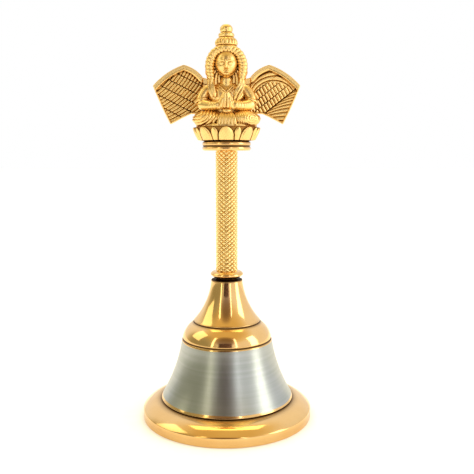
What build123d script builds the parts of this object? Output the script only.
from build123d import *
import os
from math import atan2, cos, degrees, radians, sin

# Brass hand bell for worship: a turned cup with a nickelled skirt, a knurled grip, a lotus seat
# and a winged seated figure with joined hands.  The clapper hangs inside on a wire link.
# Frame: millimetres, +Z up, origin at the centre of the rim's resting face.
# The figure faces -Y and its left wing is on +X.

# ---- cup -------------------------------------------------------------------------------------
rim_diameter = 70.0          # widest part, the foot the bell stands on
rim_edge_height = 3.75       # upright edge of the rim
rim_edge_break = 0.4         # small chamfer on the resting edge
rim_land = 4.5               # width of the flat resting face
rim_slope_width = 6.8        # rounded slope from the upright edge in to the first groove
rim_slope_height = 3.65
rim_slope_bulge = 0.75
groove_depth = 0.5           # turned grooves above the rim and at the shoulder
groove_height = 0.8
skirt_height = 24.3          # flared, nickelled skirt
skirt_top_diameter = 37.4
skirt_flare = 1.25           # how far the skirt is hollowed from a straight cone
skirt_foot_step = 0.7        # the skirt starts this much inside the rim's slope
dome_height = 6.3            # polished round shoulder
dome_top_diameter = 28.2
dome_bulge = 0.85
neck_height = 17.1           # hollow-curved neck up to the grip
neck_top_diameter = 12.8
neck_flare = 1.5
wall = 2.0                   # wall of the cup, measured level
crown_solid = 7.5            # solid metal over the hollow
inner_neck_flare = 0.5

# ---- fasteners through the crown --------------------------------------------------------------
stud_diameter = 5.0
stud_grip_depth = 12.0       # how far the stud screws into the grip
blind_bore_spare = 1.0
washer_diameter = 10.0
washer_thickness = 1.0
washer_wall_gap = 1.2        # room between the washer and the cup's wall
nut_across_flats = 8.0
nut_height = 4.0

# ---- eye, link and clapper -------------------------------------------------------------------
running_gap = 0.3            # between two wires that hang in each other
eye_wire = 1.8
eye_play = 2.0               # free height in the eye above the link's wire
eye_drop = 0.5               # the eye's top below the nut
link_wire = 1.4
link_slack = 1.2             # between the eye and the clapper's ring, inside the link
ring_wire = 1.4
rod_diameter = 2.2
ball_diameter = 13.0
ball_height = 9.5            # the ball's centre above the rim's resting face
ball_socket = 5.0            # how far the rod enters the ball

# ---- grip ------------------------------------------------------------------------------------
collar_height = 3.5
collar_diameter = 13.6
collar_foot_diameter = 12.0
collar_foot_height = 0.6
grip_diameter = 8.9
grip_length = 49.1
grip_end_break = 0.35

# ---- seat ------------------------------------------------------------------------------------
plate_diameter = 19.6
plate_thickness = 3.6
plate_waist = 0.45           # depth of the groove between the plate's two beads
seat_stud_diameter = 4.0
seat_stud_grip_depth = 10.0
seat_stud_figure_depth = 4.5
lotus_height = 5.8
lotus_base_width = 20.2
lotus_top_width = 26.5
lotus_depth_ratio = 0.88     # the seat is oval, narrower front to back
petal_count = 16
petal_foot_width = 3.4
petal_width = 5.0
petal_thickness = 1.1
petal_arch = 2.2             # height of the round arch at a petal's tip
petal_lean = 32.0            # degrees outwards
petal_sink = 0.75            # how deep a petal's foot is set in the seat

# ---- figure ----------------------------------------------------------------------------------
back_plane = 4.6             # the figure's back is flat here, where the wings are brazed on
back_pad_width = 9.0         # flat pad up the back that the wing roots sit on
base_thickness = 1.2
base_width = 24.0
base_depth = 19.0
hip_half_width = 5.0
hip_back = 1.0               # the hips lie this far behind the axis
hip_rise = 0.4               # and this much above the knees
thigh_radius = 3.5
knee_half_width = 10.8
knee_forward = 2.6
knee_height = 3.1            # above the lotus
knee_radius = 3.0
shin_radius = 2.9
ankle_radius = 1.9
ankle_cross = 2.5            # each ankle lies this far past the middle
ankle_forward = 7.4
ankle_stagger = 0.5          # one shin lies this much further forward than the other, each way
ankle_height = 2.3
torso_back = 0.4             # the torso's middle lies this far behind the axis
seat_width = 14.0            # the torso's width where it meets the base
seat_depth = 8.4
waist_height = 5.2
waist_width = 11.0
waist_depth = 7.4
chest_height = 11.5
chest_width = 14.6
chest_depth = 8.0
torso_top_rise = 1.2         # the torso ends this far above the shoulders
torso_top_width = 9.0
torso_top_depth = 5.9
shoulder_height = 14.2
shoulder_half_width = 8.1
shoulder_back = 0.2
shoulder_radius = 2.4
arm_drop = 0.3               # the upper arm starts this far below the shoulder's middle
elbow_half_width = 10.4
elbow_forward = 1.6
elbow_height = 8.9
elbow_radius = 2.0
forearm_radius = 1.9
wrist_half_width = 1.9
wrist_back = 0.6             # behind the hands
wrist_radius = 1.3
hand_height = 10.4
hand_length = 6.0
hand_reach = 7.6             # how far the joined hands stand in front of the axis
hand_radius = 1.25
palm_half_width = 0.95
fingertip_half_width = 0.65
fingertip_radius = 0.9
neck_radius = 2.6
neck_foot_radius = 2.9
neck_forward = 0.6
head_width = 9.0
head_depth = 9.5
head_length = 11.2
head_height = 24.6           # centre of the head above the lotus
face_forward = 1.9
nose_length = 1.8
nose_rise = 0.6              # the nose's top above the head's middle
nose_top_radius = 0.45
nose_tip_radius = 0.75
nose_sink = 0.6              # how deep the nose's top is set in the face
nose_tip_sink = 0.15
hair_width = 17.2
hair_length = 17.0
hair_height = 22.6
hair_depth = 12.4
hair_back = 0.5
hair_front = 3.1             # the hair stops this far in front of the axis, round the face
lock_half_width = 6.3        # side locks, from the hair down to the chest
lock_start_drop = 2.0
lock_forward = 0.8
lock_radius = 1.9
lock_end_half_width = 4.6
lock_end_drop = 4.0          # below the shoulders
lock_end_forward = 3.4
lock_end_radius = 1.1
crown_ring_diameter = 9.4
crown_band_diameter = 9.0
crown_step_diameter = 6.2
knob_diameter = 5.4
crown_foot_height = 29.7     # above the lotus
crown_sink = 3.0             # how deep the crown is set in the hair
crown_shoulder_bulge = 0.5
crown_step_taper = 0.3
crown_step_bulge = 0.4
crown_forward = 0.9          # the crown's axis in front of the bell's
crown_ring_height = 1.9
crown_band_height = 3.1
crown_step_height = 1.8
knob_height = 3.2
knob_foot_share = 0.8        # the knob's foot and flat top as shares of its widest part
knob_top_share = 0.5
knob_widest_share = 0.45     # height of the widest part as a share of the knob's height

# ---- wings -----------------------------------------------------------------------------------
wing_span = 60.2
wing_root_gap = 0.4          # half the gap between the two wings' roots
wing_thickness = 2.4
wing_root_thickness = 1.2    # the root plate behind the figure's back
wing_front = 9.6             # outside this distance from the axis the wing is full thickness
wing_peak = 17.3             # distance of the highest point from the axis
wing_tip_foot = 22.9         # distance of the lowest point from the axis
wing_inner_foot = 14.6
wing_peak_height = 24.9      # heights above the lotus
wing_root_top = 17.5
wing_neck_height = 20.0
wing_corner_height = 16.6
wing_inner_foot_height = 4.9
wing_tip_foot_height = 0.7
wing_corner_bulge = 1.0      # roundness of the leading edge, outside and inside the peak
wing_neck_bulge = 0.8
wing_rows = 3                # feather rows below the leading edge
wing_row_drop = 5.0
wing_row_step = 0.3
wing_corner_round = 1.4      # rounding of the two outer corners

# ---- heights that follow ---------------------------------------------------------------------
rim_radius = rim_diameter / 2
mouth_radius = rim_radius - rim_land
slope_radius = rim_radius - rim_slope_width
slope_z = rim_edge_height + rim_slope_height
skirt_foot_radius = slope_radius - skirt_foot_step
skirt_foot_z = slope_z + groove_height
skirt_top_z = skirt_foot_z + skirt_height
dome_foot_z = skirt_top_z + groove_height
dome_top_z = dome_foot_z + dome_height
neck_foot_z = dome_top_z + groove_height
cup_top_z = neck_foot_z + neck_height
ceiling_z = cup_top_z - crown_solid
ceiling_radius = washer_diameter / 2 + washer_wall_gap
stud_radius = stud_diameter / 2

washer_z = ceiling_z - washer_thickness
nut_z = washer_z - nut_height

eye_radius = (link_wire + eye_play + eye_wire) / 2
eye_z = nut_z - eye_drop - eye_wire / 2 - eye_radius
link_axis_z = eye_z - eye_radius
link_end_radius = eye_wire / 2 + running_gap + link_wire / 2
ring_radius = link_wire / 2 + running_gap + ring_wire / 2
link_straight = link_slack + eye_wire / 2 + ring_radius + ring_wire / 2 - link_end_radius
clapper_axis_z = link_axis_z - link_straight - link_end_radius
ball_radius = ball_diameter / 2

collar_top_z = cup_top_z + collar_height
grip_top_z = collar_top_z + grip_length
plate_top_z = grip_top_z + plate_thickness
lotus_top_z = plate_top_z + lotus_height
seat_stud_radius = seat_stud_diameter / 2
figure_bore_z = lotus_top_z + seat_stud_figure_depth


def turned(*pieces):
    """Solid of revolution about Z; the outline is drawn as (radius, height)."""
    edges = [edge for piece in pieces for edge in piece.edges()]
    return revolve(Plane.XZ * Face(Wire(edges)), Axis.Z)


def upright(radius, low, high):
    """A cylinder on the bell's axis between two heights."""
    return Pos(0, 0, low) * Cylinder(radius, high - low, align=(Align.CENTER, Align.CENTER, Align.MIN))


def limb(start, end, start_radius, end_radius):
    """A round-ended, tapering limb between two points."""
    axis = Vector(*end) - Vector(*start)
    length = axis.length
    start_bend = start_radius * sin(radians(45))
    end_bend = end_radius * sin(radians(45))
    blank = turned(
        ThreePointArc((0, -start_radius), (start_bend, -start_bend), (start_radius, 0)),
        Line((start_radius, 0), (end_radius, length)),
        ThreePointArc((end_radius, length), (end_bend, length + end_bend), (0, length + end_radius)),
        Line((0, length + end_radius), (0, -start_radius)),
    )
    return Plane(origin=start, z_dir=axis) * blank


def egg(centre, width, depth, height):
    """An ellipsoid given by its three diameters."""
    return Pos(*centre) * scale(Sphere(1), by=(width / 2, depth / 2, height / 2))


def bell_cup():
    """Rim, flared skirt, round shoulder and hollow-curved neck, turned in one piece."""
    skirt_top_radius = skirt_top_diameter / 2
    dome_top_radius = dome_top_diameter / 2
    neck_top_radius = neck_top_diameter / 2
    groove_mid = groove_height / 2
    outside = [
        Polyline((mouth_radius, 0), (rim_radius - rim_edge_break, 0), (rim_radius, rim_edge_break),
                 (rim_radius, rim_edge_height)),
        SagittaArc((rim_radius, rim_edge_height), (slope_radius, slope_z), -rim_slope_bulge),
        Polyline((slope_radius, slope_z), (skirt_foot_radius - groove_depth, slope_z + groove_mid),
                 (skirt_foot_radius, skirt_foot_z)),
        SagittaArc((skirt_foot_radius, skirt_foot_z), (skirt_top_radius, skirt_top_z), skirt_flare),
        Polyline((skirt_top_radius, skirt_top_z), (skirt_top_radius - groove_depth, skirt_top_z + groove_mid),
                 (skirt_top_radius - groove_depth / 2, dome_foot_z)),
        SagittaArc((skirt_top_radius - groove_depth / 2, dome_foot_z), (dome_top_radius, dome_top_z),
                   -dome_bulge),
        Polyline((dome_top_radius, dome_top_z), (dome_top_radius - groove_depth, dome_top_z + groove_mid),
                 (dome_top_radius - groove_depth / 2, neck_foot_z)),
        SagittaArc((dome_top_radius - groove_depth / 2, neck_foot_z), (neck_top_radius, cup_top_z),
                   neck_flare),
        Polyline((neck_top_radius, cup_top_z), (stud_radius, cup_top_z), (stud_radius, ceiling_z),
                 (ceiling_radius, ceiling_z)),
    ]
    inside = [
        SagittaArc((ceiling_radius, ceiling_z), (dome_top_radius - wall, dome_top_z), -inner_neck_flare),
        Line((dome_top_radius - wall, dome_top_z), (skirt_top_radius - wall, skirt_top_z)),
        SagittaArc((skirt_top_radius - wall, skirt_top_z), (skirt_foot_radius - wall, skirt_foot_z),
                   -skirt_flare),
        Line((skirt_foot_radius - wall, skirt_foot_z), (mouth_radius, 0)),
    ]
    return turned(*outside, *inside)


def crown_washer():
    """Plain washer against the cup's ceiling."""
    return upright(washer_diameter / 2, washer_z, ceiling_z) - upright(stud_radius, washer_z, ceiling_z)


def lock_nut():
    """Hexagon nut that pulls the cup, collar and grip together."""
    hexagon = RegularPolygon(nut_across_flats / 2, 6, major_radius=False)
    blank = Pos(0, 0, nut_z) * extrude(hexagon, nut_height)
    return blank - upright(stud_radius, nut_z, washer_z)


def eye_stud():
    """Threaded stud whose lower end is bent into the eye that carries the link."""
    shank_foot_z = eye_z + eye_radius
    shank = upright(stud_radius, shank_foot_z, collar_top_z + stud_grip_depth)
    eye = Pos(0, 0, eye_z) * Rot(90, 0, 0) * Torus(eye_radius, eye_wire / 2)
    return shank + eye


def swing_link():
    """Closed oval wire link: two straight sides and two half rings, in the YZ plane."""
    low_z = link_axis_z - link_straight
    half_ring = Torus(link_end_radius, link_wire / 2, major_angle=180,
                      align=(Align.CENTER, Align.MIN, Align.CENTER))
    link = Plane(origin=(0, 0, link_axis_z), x_dir=(0, 1, 0), z_dir=(1, 0, 0)) * half_ring
    link += Plane(origin=(0, 0, low_z), x_dir=(0, -1, 0), z_dir=(1, 0, 0)) * half_ring
    for side in (-1, 1):
        link += Pos(0, side * link_end_radius, 0) * upright(link_wire / 2, low_z, link_axis_z)
    return link


def clapper_rod():
    """Rod of the clapper, with the ring that hangs on the link."""
    ring = Pos(0, 0, clapper_axis_z) * Rot(90, 0, 0) * Torus(ring_radius, ring_wire / 2)
    foot_z = ball_height + ball_radius - ball_socket
    return ring + upright(rod_diameter / 2, foot_z, clapper_axis_z - ring_radius)


def clapper_ball():
    """Ball of the clapper, bored for its rod."""
    foot_z = ball_height + ball_radius - ball_socket
    return Pos(0, 0, ball_height) * Sphere(ball_radius) - upright(rod_diameter / 2, foot_z, clapper_axis_z)


def grip_collar():
    """Beaded collar between the neck and the grip."""
    foot_radius = collar_foot_diameter / 2
    bead_radius = collar_diameter / 2
    foot_z = cup_top_z + collar_foot_height
    bead_z = (foot_z + collar_top_z) / 2
    top_radius = grip_diameter / 2 + 2 * grip_end_break
    return turned(
        Polyline((stud_radius, cup_top_z), (foot_radius, cup_top_z), (foot_radius, foot_z)),
        ThreePointArc((foot_radius, foot_z), (bead_radius, bead_z), (top_radius, collar_top_z)),
        Polyline((top_radius, collar_top_z), (stud_radius, collar_top_z), (stud_radius, cup_top_z)),
    )


def grip_rod():
    """Grip rod at the size over its knurl, with a blind bore at each end."""
    rod = chamfer(upright(grip_diameter / 2, collar_top_z, grip_top_z).edges(), grip_end_break)
    rod -= upright(stud_radius, collar_top_z, collar_top_z + stud_grip_depth + blind_bore_spare)
    return rod - upright(seat_stud_radius, grip_top_z - seat_stud_grip_depth - blind_bore_spare, grip_top_z)


def seat_plate():
    """Turned plate with two beads under the lotus."""
    radius = plate_diameter / 2
    waist_z = (grip_top_z + plate_top_z) / 2
    inner = radius - plate_waist
    return turned(
        Polyline((inner, plate_top_z), (seat_stud_radius, plate_top_z), (seat_stud_radius, grip_top_z),
                 (inner, grip_top_z)),
        ThreePointArc((inner, grip_top_z), (radius, (grip_top_z + waist_z) / 2), (inner, waist_z)),
        ThreePointArc((inner, waist_z), (radius, (waist_z + plate_top_z) / 2), (inner, plate_top_z)),
    )


def seat_stud():
    """Headless stud that ties grip, plate, lotus and figure together."""
    return upright(seat_stud_radius, grip_top_z - seat_stud_grip_depth, figure_bore_z)


def petal():
    """One round-arched lotus petal, upright at the origin, its thickness along Y."""
    foot = petal_foot_width / 2
    half = petal_width / 2
    length = lotus_height / cos(radians(petal_lean))
    shoulder = length - petal_arch
    sides = Polyline((-half, shoulder), (-foot, 0), (foot, 0), (half, shoulder))
    arch = ThreePointArc((half, shoulder), (0, length), (-half, shoulder))
    return extrude(Plane.XZ * Face(Wire([*sides.edges(), *arch.edges()])), petal_thickness)


def lotus_seat():
    """Oval seat ringed with pointed petals, flat above and below."""
    low = Pos(0, 0, plate_top_z) * Ellipse(lotus_base_width / 2, lotus_base_width / 2 * lotus_depth_ratio)
    high = Pos(0, 0, lotus_top_z) * Ellipse(lotus_top_width / 2, lotus_top_width / 2 * lotus_depth_ratio)
    seat = loft([low, high])
    long_axis = lotus_base_width / 2
    short_axis = long_axis * lotus_depth_ratio
    for index in range(petal_count):
        angle = radians(360 * index / petal_count - 90)
        x = long_axis * cos(angle)
        y = short_axis * sin(angle)
        facing = degrees(atan2(y / short_axis ** 2, x / long_axis ** 2)) + 90
        foot = Pos(x, y, plate_top_z) * Rot(0, 0, facing) * Rot(petal_lean, 0, 0)
        seat += foot * Pos(0, petal_sink, 0) * petal()
    slab = Pos(0, 0, plate_top_z) * Box(
        2 * lotus_top_width, 2 * lotus_top_width, lotus_height, align=(Align.CENTER, Align.CENTER, Align.MIN))
    return seat & slab - upright(seat_stud_radius, plate_top_z, lotus_top_z)


def figure_legs():
    """Crossed legs on a thin base."""
    base = extrude(Ellipse(base_width / 2, base_depth / 2), base_thickness)
    legs = Pos(0, 0, lotus_top_z) * base
    knee_z = lotus_top_z + knee_height
    for side in (-1, 1):
        hip = (side * hip_half_width, hip_back, knee_z + hip_rise)
        knee = (side * knee_half_width, -knee_forward, knee_z)
        ankle = (-side * ankle_cross, -ankle_forward - side * ankle_stagger, lotus_top_z + ankle_height)
        legs += limb(hip, knee, thigh_radius, knee_radius)
        legs += limb(knee, ankle, shin_radius, ankle_radius)
    return legs


def figure_torso():
    """Waist and chest as one loft, a flat pad up the back, and sloping shoulders."""
    sections = [
        (base_thickness / 2, seat_width, seat_depth),
        (waist_height, waist_width, waist_depth),
        (chest_height, chest_width, chest_depth),
        (shoulder_height + torso_top_rise, torso_top_width, torso_top_depth),
    ]
    rings = [Pos(0, torso_back, lotus_top_z + h) * Ellipse(w / 2, d / 2) for h, w, d in sections]
    shoulder_z = lotus_top_z + shoulder_height
    left = (shoulder_half_width, shoulder_back, shoulder_z)
    right = (-shoulder_half_width, shoulder_back, shoulder_z)
    back_pad = Pos(0, torso_back, lotus_top_z) * Box(
        back_pad_width, back_plane - torso_back, shoulder_height, align=(Align.CENTER, Align.MIN, Align.MIN))
    return loft(rings) + back_pad + limb(right, left, shoulder_radius, shoulder_radius)


def figure_arms():
    """Upper arms, level forearms and the two joined hands."""
    elbow_z = lotus_top_z + elbow_height
    hand_z = lotus_top_z + hand_height
    heel = (0, -hand_reach + wrist_back, elbow_z)
    arms = limb(heel, (0, -hand_reach, hand_z), hand_radius, hand_radius)
    for side in (-1, 1):
        shoulder = (side * shoulder_half_width, shoulder_back, lotus_top_z + shoulder_height - arm_drop)
        elbow = (side * elbow_half_width, -elbow_forward, elbow_z)
        wrist = (side * wrist_half_width, -hand_reach + wrist_back, elbow_z)
        palm = (side * palm_half_width, -hand_reach, hand_z - hand_length / 2)
        fingers = (side * fingertip_half_width, -hand_reach, hand_z + hand_length / 2)
        arms += limb(shoulder, elbow, shoulder_radius, elbow_radius)
        arms += limb(elbow, wrist, forearm_radius, wrist_radius)
        arms += limb(palm, fingers, hand_radius, fingertip_radius)
    return arms


def figure_head():
    """Neck, head with a plain nose, and the full head of hair behind it."""
    centre_z = lotus_top_z + head_height
    hair_z = lotus_top_z + hair_height
    nose_z = centre_z + nose_rise
    front = -face_forward - head_depth / 2
    head = egg((0, -face_forward, centre_z), head_width, head_depth, head_length)
    head += limb((0, front + nose_sink, nose_z), (0, front + nose_tip_sink, nose_z - nose_length),
                 nose_top_radius, nose_tip_radius)
    before_hair = Pos(0, -hair_front, hair_z) * Box(
        2 * hair_width, hair_depth, 2 * hair_length, align=(Align.CENTER, Align.MAX, Align.CENTER))
    head += egg((0, hair_back, hair_z), hair_width, hair_depth, hair_length) - before_hair
    for side in (-1, 1):
        lock_top = (side * lock_half_width, -lock_forward, hair_z - lock_start_drop)
        lock_end_z = lotus_top_z + shoulder_height - lock_end_drop
        lock_end = (side * lock_end_half_width, -lock_end_forward, lock_end_z)
        head += limb(lock_top, lock_end, lock_radius, lock_end_radius)
    shoulder = (0, 0, lotus_top_z + shoulder_height)
    chin = (0, -neck_forward, centre_z - head_length / 4)
    return head + limb(shoulder, chin, neck_foot_radius, neck_radius)


def figure_crown():
    """Tall crown: foot ring, band, step and knob, turned about the figure's own axis."""
    ring_radius_out = crown_ring_diameter / 2
    band_radius = crown_band_diameter / 2
    step_radius = crown_step_diameter / 2
    step_top_radius = step_radius - crown_step_taper
    knob_radius = knob_diameter / 2
    knob_foot_radius = knob_radius * knob_foot_share
    knob_top_radius = knob_radius * knob_top_share
    foot_z = lotus_top_z + crown_foot_height
    ring_z = foot_z + crown_ring_height
    band_z = ring_z + crown_band_height
    step_z = band_z + crown_step_height
    knob_z = step_z + knob_height
    sunk_z = foot_z - crown_sink
    return Pos(0, -crown_forward, 0) * turned(
        Polyline((0, knob_z), (0, sunk_z), (band_radius, sunk_z), (band_radius, foot_z)),
        SagittaArc((band_radius, foot_z), (band_radius, ring_z), -(ring_radius_out - band_radius)),
        SagittaArc((band_radius, ring_z), (step_radius, band_z), -crown_shoulder_bulge),
        SagittaArc((step_radius, band_z), (step_top_radius, step_z), -crown_step_bulge),
        Line((step_top_radius, step_z), (knob_foot_radius, step_z)),
        ThreePointArc((knob_foot_radius, step_z), (knob_radius, step_z + knob_height * knob_widest_share),
                      (knob_top_radius, knob_z)),
        Line((knob_top_radius, knob_z), (0, knob_z)),
    )


def seated_figure():
    """The seated figure as one casting, flat behind, bored for the seat stud."""
    figure = figure_legs() + figure_torso() + figure_arms() + figure_head() + figure_crown()
    behind = Pos(0, back_plane, lotus_top_z) * Box(
        wing_span, wing_span, 3 * crown_foot_height, align=(Align.CENTER, Align.MIN, Align.CENTER))
    below = Pos(0, 0, lotus_top_z) * Box(
        wing_span, wing_span, wing_span, align=(Align.CENTER, Align.CENTER, Align.MAX))
    return figure - behind - below - upright(seat_stud_radius, lotus_top_z, figure_bore_z)


def wing_outline():
    """Outline of the wing on +X as a face, with its heights counted from the lotus."""
    corner = (wing_span / 2, wing_corner_height)
    peak = (wing_peak, wing_peak_height)
    neck = (wing_front, wing_neck_height)
    tip_foot = (wing_tip_foot, wing_tip_foot_height)
    inner_foot = (wing_inner_foot, wing_inner_foot_height)
    pieces = [
        Polyline(neck, (wing_root_gap, wing_root_top), (wing_root_gap, wing_inner_foot_height), inner_foot,
                 tip_foot, corner),
        SagittaArc(corner, peak, -wing_corner_bulge),
        SagittaArc(peak, neck, -wing_neck_bulge),
    ]
    face = Sketch() + Face(Wire([edge for piece in pieces for edge in piece.edges()]))
    outer_corners = face.vertices().sort_by(Axis.X)[-2:]
    return fillet(outer_corners, wing_corner_round)


def wing(side):
    """One wing: a plate stepped down in feather rows, with a thinner root behind the figure."""
    outline = Pos(0, 0, lotus_top_z) * (Plane.XZ * wing_outline())
    rear = back_plane + wing_root_thickness
    plate = Pos(0, rear, 0) * extrude(outline, wing_thickness)
    front = rear - wing_thickness
    for row in range(1, wing_rows + 1):
        shifted = Pos(0, front + row * wing_row_step, -row * wing_row_drop) * extrude(outline, wing_row_step)
        plate -= shifted
    before_root = Pos(0, back_plane, lotus_top_z) * Box(
        2 * wing_front, wing_span, 3 * wing_peak_height, align=(Align.CENTER, Align.MAX, Align.CENTER))
    half = plate - before_root
    return half if side > 0 else mirror(half, Plane.YZ)


nodes = {
    "bell_cup": bell_cup(),
    "crown_washer": crown_washer(),
    "lock_nut": lock_nut(),
    "eye_stud": eye_stud(),
    "swing_link": swing_link(),
    "clapper_rod": clapper_rod(),
    "clapper_ball": clapper_ball(),
    "grip_collar": grip_collar(),
    "grip_rod": grip_rod(),
    "seat_plate": seat_plate(),
    "seat_stud": seat_stud(),
    "lotus_seat": lotus_seat(),
    "seated_figure": seated_figure(),
    "wing_left": wing(1),
    "wing_right": wing(-1),
}

os.makedirs("parts", exist_ok=True)
for name, solid in nodes.items():
    export_step(solid, f"parts/{name}.step")
